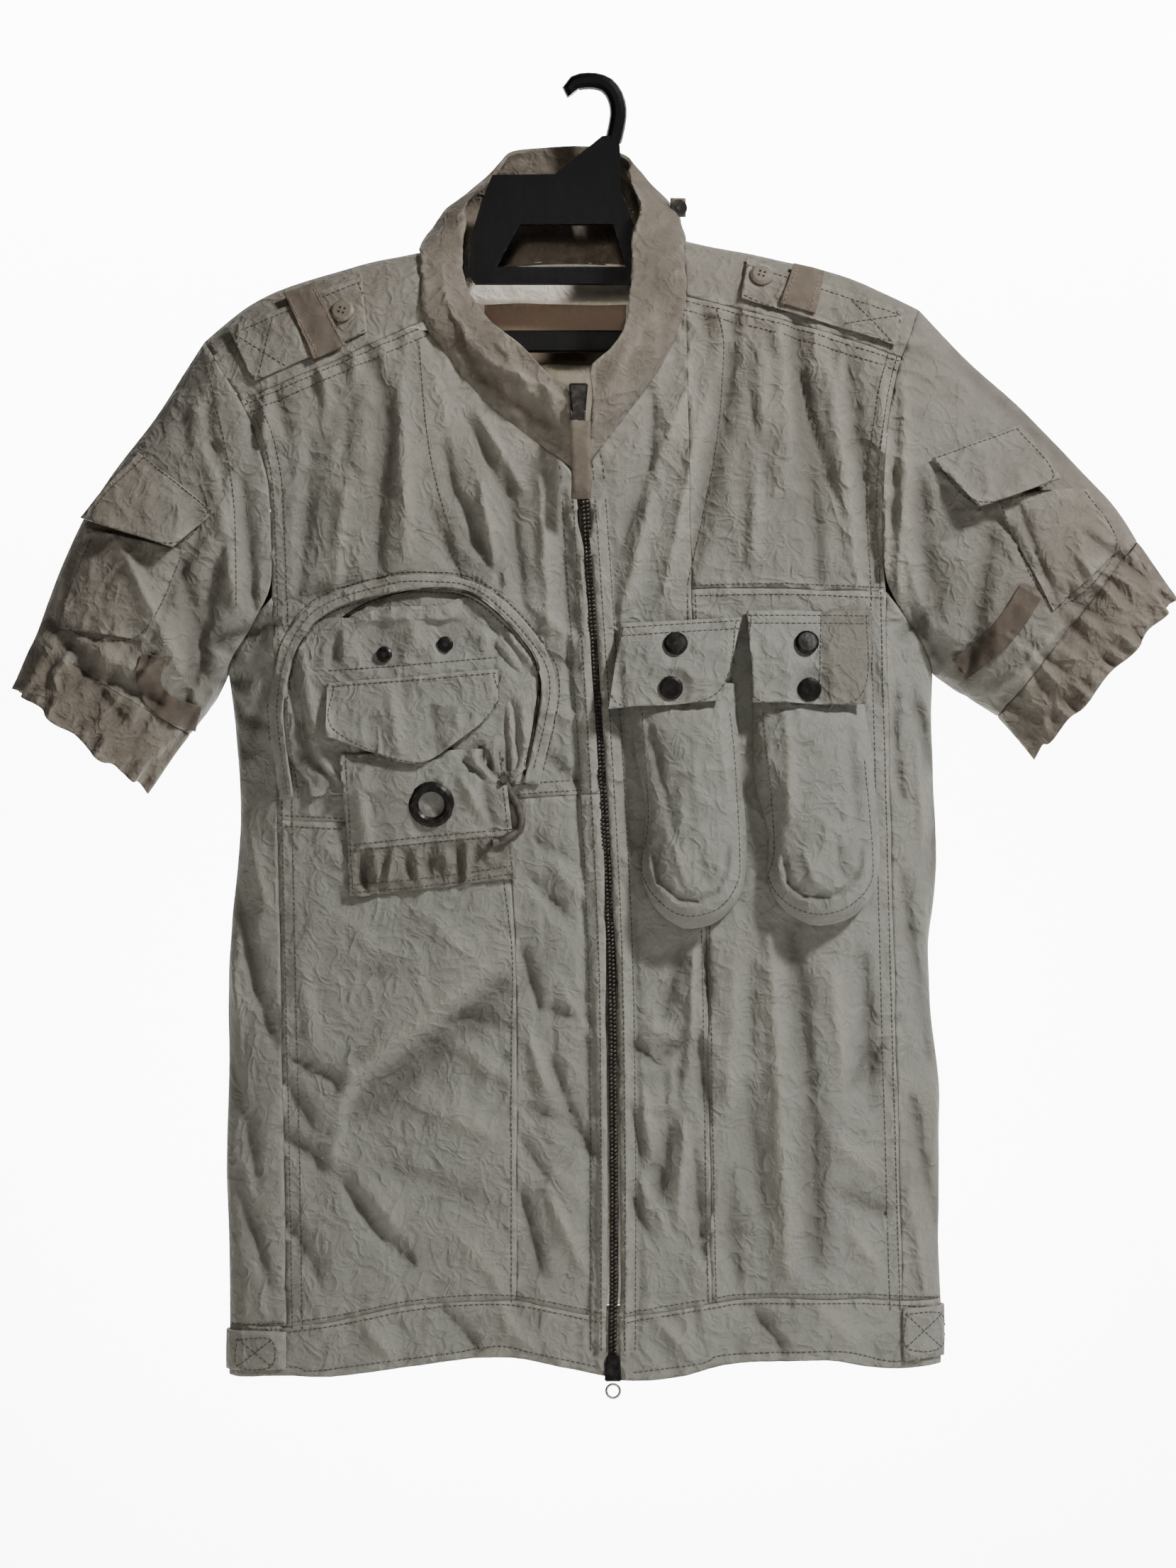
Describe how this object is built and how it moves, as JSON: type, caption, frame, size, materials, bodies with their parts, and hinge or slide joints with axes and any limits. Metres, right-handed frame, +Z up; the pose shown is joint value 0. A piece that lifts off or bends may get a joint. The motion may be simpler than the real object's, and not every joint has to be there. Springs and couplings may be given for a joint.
{
  "type": "zip shirt on a hanger",
  "caption": "Short-sleeved stand-collar zip shirt in grey-brown cotton with cargo pockets, hanging on a black plastic hanger.",
  "frame": {"origin": "inside crown of the hanger's hook, where it hangs on a rail", "axes": "+X to the right as the front is seen, +Y to the back of the shirt, +Z up"},
  "size_m": [0.7462, 0.1109, 0.8429],
  "materials": {
    "cloth": "washed cotton",
    "twill": "brushed twill",
    "plastic": "satin",
    "dark_metal": "blackened and worn",
    "steel": "polished",
    "chain": "dark oxide teeth on woven tape",
    "label": "woven satin",
    "button": "satin"
  },
  "bodies": {
    "shirt": {"front_left_chest": "cloth", "front_left_lower": "cloth", "front_left_strip": "cloth", "front_right_chest": "cloth", "front_right_lower": "cloth", "front_right_strip": "cloth", "side_left": "cloth", "side_right": "cloth", "back": "cloth", "yoke_left": "cloth", "yoke_right": "cloth", "hem_left": "cloth", "hem_right": "cloth", "hem_back": "cloth", "sleeve_left": "cloth", "sleeve_right": "cloth", "collar": "cloth", "arch_band": "cloth", "arch_panel": "cloth", "patch_pocket": "cloth", "arch_flap": "cloth", "pouch_left": "cloth", "pouch_flap_left": "cloth", "pouch_right": "cloth", "pouch_flap_right": "cloth", "epaulette_left": "cloth", "epaulette_right": "cloth", "sleeve_pocket_left": "cloth", "sleeve_pocket_right": "cloth", "sleeve_flap_left": "cloth", "sleeve_flap_right": "cloth", "collar_tab": "cloth", "epaulette_loop_left": "twill", "epaulette_loop_right": "twill", "cuff_left": "twill", "cuff_right": "twill", "sleeve_strap_left": "twill", "sleeve_strap_right": "twill", "hem_tab_left": "twill", "hem_tab_right": "twill", "hanger_plate": "plastic", "hanger_arm_left": "plastic", "hanger_arm_right": "plastic", "hanger_lower_bar": "plastic", "grommet": "dark_metal", "arch_snap_left": "dark_metal", "arch_snap_right": "dark_metal", "pouch_snap_left_upper": "dark_metal", "pouch_snap_left_lower": "dark_metal", "pouch_snap_right_upper": "dark_metal", "pouch_snap_right_lower": "dark_metal", "slider_top": "dark_metal", "slider_bottom": "dark_metal", "zip_chain": "chain", "neck_label": "label", "epaulette_button_left": "button", "epaulette_button_right": "button"},
    "top_pull": {"pull_top": "dark_metal", "pull_tape": "twill"},
    "hem_ring": {"pull_ring": "steel"}
  },
  "joints": [
    {"name": "top_pull", "type": "hinge", "parent": "shirt", "child": "top_pull", "pos_m": [-0.01, -0.07214, -0.2038], "axis": [-1, 0, 0], "range_deg": [0, 120]},
    {"name": "hem_ring", "type": "hinge", "parent": "shirt", "child": "hem_ring", "pos_m": [0.0118, -0.03937, -0.8223], "axis": [-1, 0, 0], "range_deg": [0, 120]}
  ]
}
